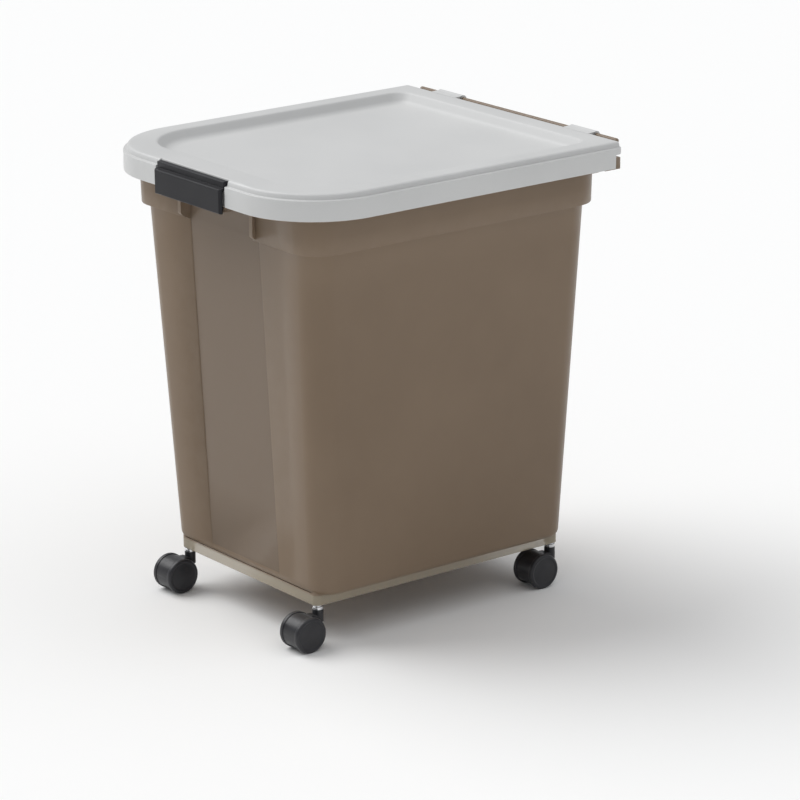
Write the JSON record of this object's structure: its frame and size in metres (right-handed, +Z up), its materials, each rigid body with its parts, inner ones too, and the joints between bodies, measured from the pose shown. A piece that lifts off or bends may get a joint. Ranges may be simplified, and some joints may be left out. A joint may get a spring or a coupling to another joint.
{
  "type": "pet food bin",
  "caption": "Tall tapered rolling food bin with a hinged, dished and gasketed lid, a front snap latch, a translucent tub and twin-wheel swivel casters.",
  "frame": {"origin": "on the floor below the middle of the whole bin", "axes": "+Z up; +X to the bin's right; the latch faces -Y and the lid's hinge runs along the +Y edge"},
  "size_m": [0.397, 0.47, 0.5334],
  "materials": {
    "tub_plastic": "translucent smoke-brown polypropylene, lightly frosted, with a clearer front panel",
    "lid_plastic": "satin light grey polypropylene",
    "gasket_foam": "soft closed-cell foam",
    "latch_plastic": "fine-textured charcoal polypropylene",
    "caster_plastic": "satin black nylon",
    "wheel_plastic": "satin black nylon",
    "steel": "bright zinc plate"
  },
  "bodies": {
    "tub": {"tub": "tub_plastic", "caster_front_left_grip_ring": "steel", "caster_front_right_grip_ring": "steel", "caster_rear_left_grip_ring": "steel", "caster_rear_right_grip_ring": "steel"},
    "lid": {"lid": "lid_plastic", "lid_gasket": "gasket_foam"},
    "latch": {"latch": "latch_plastic"},
    "caster_front_left": {"caster_front_left_stem": "steel", "caster_front_left_hood": "caster_plastic", "caster_front_left_axle": "steel"},
    "caster_front_left_wheel_left": {"caster_front_left_wheel_left": "wheel_plastic"},
    "caster_front_left_wheel_right": {"caster_front_left_wheel_right": "wheel_plastic"},
    "caster_front_right": {"caster_front_right_stem": "steel", "caster_front_right_hood": "caster_plastic", "caster_front_right_axle": "steel"},
    "caster_front_right_wheel_left": {"caster_front_right_wheel_left": "wheel_plastic"},
    "caster_front_right_wheel_right": {"caster_front_right_wheel_right": "wheel_plastic"},
    "caster_rear_left": {"caster_rear_left_stem": "steel", "caster_rear_left_hood": "caster_plastic", "caster_rear_left_axle": "steel"},
    "caster_rear_left_wheel_left": {"caster_rear_left_wheel_left": "wheel_plastic"},
    "caster_rear_left_wheel_right": {"caster_rear_left_wheel_right": "wheel_plastic"},
    "caster_rear_right": {"caster_rear_right_stem": "steel", "caster_rear_right_hood": "caster_plastic", "caster_rear_right_axle": "steel"},
    "caster_rear_right_wheel_left": {"caster_rear_right_wheel_left": "wheel_plastic"},
    "caster_rear_right_wheel_right": {"caster_rear_right_wheel_right": "wheel_plastic"}
  },
  "joints": [
    {"name": "lid_hinge", "type": "hinge", "parent": "tub", "child": "lid", "pos_m": [0, 0.2295, 0.5282], "axis": [-1, 0, 0], "range_deg": [0, 105]},
    {"name": "latch_hinge", "type": "hinge", "parent": "tub", "child": "latch", "pos_m": [0, -0.2275, 0.4981], "axis": [1, 0, 0], "range_deg": [0, 105]},
    {"name": "caster_front_left_swivel", "type": "hinge", "parent": "tub", "child": "caster_front_left", "pos_m": [-0.125, -0.1575, 0.06], "axis": [0, 0, 1], "continuous": true},
    {"name": "caster_front_left_wheel_left_spin", "type": "hinge", "parent": "caster_front_left", "child": "caster_front_left_wheel_left", "pos_m": [-0.125, -0.1785, 0.0205], "axis": [1, 0, 0], "continuous": true},
    {"name": "caster_front_left_wheel_right_spin", "type": "hinge", "parent": "caster_front_left", "child": "caster_front_left_wheel_right", "pos_m": [-0.125, -0.1785, 0.0205], "axis": [1, 0, 0], "continuous": true},
    {"name": "caster_front_right_swivel", "type": "hinge", "parent": "tub", "child": "caster_front_right", "pos_m": [0.125, -0.1575, 0.06], "axis": [0, 0, 1], "continuous": true},
    {"name": "caster_front_right_wheel_left_spin", "type": "hinge", "parent": "caster_front_right", "child": "caster_front_right_wheel_left", "pos_m": [0.125, -0.1785, 0.0205], "axis": [1, 0, 0], "continuous": true},
    {"name": "caster_front_right_wheel_right_spin", "type": "hinge", "parent": "caster_front_right", "child": "caster_front_right_wheel_right", "pos_m": [0.125, -0.1785, 0.0205], "axis": [1, 0, 0], "continuous": true},
    {"name": "caster_rear_left_swivel", "type": "hinge", "parent": "tub", "child": "caster_rear_left", "pos_m": [-0.125, 0.1775, 0.06], "axis": [0, 0, 1], "continuous": true},
    {"name": "caster_rear_left_wheel_left_spin", "type": "hinge", "parent": "caster_rear_left", "child": "caster_rear_left_wheel_left", "pos_m": [-0.125, 0.1565, 0.0205], "axis": [1, 0, 0], "continuous": true},
    {"name": "caster_rear_left_wheel_right_spin", "type": "hinge", "parent": "caster_rear_left", "child": "caster_rear_left_wheel_right", "pos_m": [-0.125, 0.1565, 0.0205], "axis": [1, 0, 0], "continuous": true},
    {"name": "caster_rear_right_swivel", "type": "hinge", "parent": "tub", "child": "caster_rear_right", "pos_m": [0.125, 0.1775, 0.06], "axis": [0, 0, 1], "continuous": true},
    {"name": "caster_rear_right_wheel_left_spin", "type": "hinge", "parent": "caster_rear_right", "child": "caster_rear_right_wheel_left", "pos_m": [0.125, 0.1565, 0.0205], "axis": [1, 0, 0], "continuous": true},
    {"name": "caster_rear_right_wheel_right_spin", "type": "hinge", "parent": "caster_rear_right", "child": "caster_rear_right_wheel_right", "pos_m": [0.125, 0.1565, 0.0205], "axis": [1, 0, 0], "continuous": true}
  ]
}
